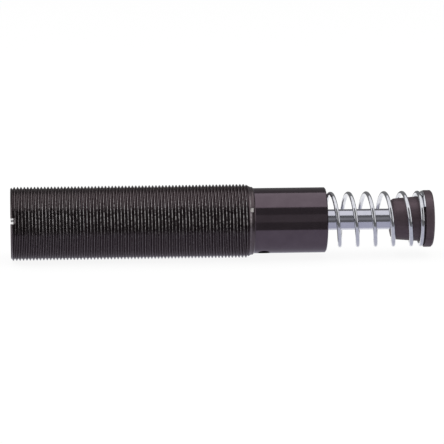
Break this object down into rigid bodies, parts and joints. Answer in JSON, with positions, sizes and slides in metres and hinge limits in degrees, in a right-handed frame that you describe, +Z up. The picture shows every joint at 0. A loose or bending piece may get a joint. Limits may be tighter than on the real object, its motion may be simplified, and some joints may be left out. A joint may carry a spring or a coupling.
{
  "type": "industrial shock absorber",
  "caption": "Self-contained hydraulic shock absorber: threaded barrel closed at the rear, chromed rod, open return spring and flanged strike button.",
  "frame": {"origin": "centre of the body's rear face, on the axis", "axes": "+X along the axis from the rear face towards the strike button, rod fully extended; +Z up with the part lying on its barrel; +Y to the back"},
  "size_m": [0.1882, 0.0328, 0.0328],
  "materials": {
    "body_steel": "black-oxide turned steel",
    "button_steel": "brown-black oxide steel",
    "chrome_rod": "ground hard chrome",
    "spring_steel": "zinc-plated spring wire",
    "turned_steel": "plain turned steel",
    "bronze": "turned bearing bronze",
    "copper_seal": "soft copper",
    "guide_plastic": "filled PTFE",
    "seal_polyurethane": "polyurethane",
    "seal_rubber": "nitrile rubber",
    "foam_rubber": "closed-cell nitrile foam",
    "clip_steel": "phosphated spring steel"
  },
  "bodies": {
    "barrel": {"cylinder_body": "body_steel", "fill_plug": "turned_steel", "fill_plug_seal": "copper_seal", "foam_accumulator": "foam_rubber", "base_plate": "turned_steel", "tube_seal": "seal_rubber", "pressure_tube": "turned_steel", "rebound_stop": "guide_plastic", "gland": "turned_steel", "rod_bearing": "bronze", "rod_seal": "seal_polyurethane", "seal_spacer": "turned_steel", "rod_wiper": "seal_rubber", "gland_seal": "seal_rubber", "retaining_ring": "clip_steel", "spring_seat": "turned_steel", "return_spring": "spring_steel"},
    "piston_guide": {"piston_ring": "guide_plastic"},
    "check_valve": {"check_ring": "turned_steel"},
    "rod_group": {"piston_head": "bronze", "piston_nut": "turned_steel", "rebound_washer": "turned_steel", "piston_rod": "chrome_rod", "button": "button_steel"}
  },
  "joints": [
    {"name": "rod_slide", "type": "slide", "parent": "barrel", "child": "piston_guide", "axis": [-1, 0, 0], "range_m": [0, 0.025], "stiffness_N_per_m": 2000, "springref_m": -0.012, "deforming": ["return_spring"]},
    {"name": "rod_turn", "type": "hinge", "parent": "piston_guide", "child": "rod_group", "pos_m": [0.15, 0, 0], "axis": [1, 0, 0], "continuous": true},
    {"name": "check_float", "type": "slide", "parent": "piston_guide", "child": "check_valve", "axis": [1, 0, 0], "range_m": [0, 0.0007]}
  ]
}
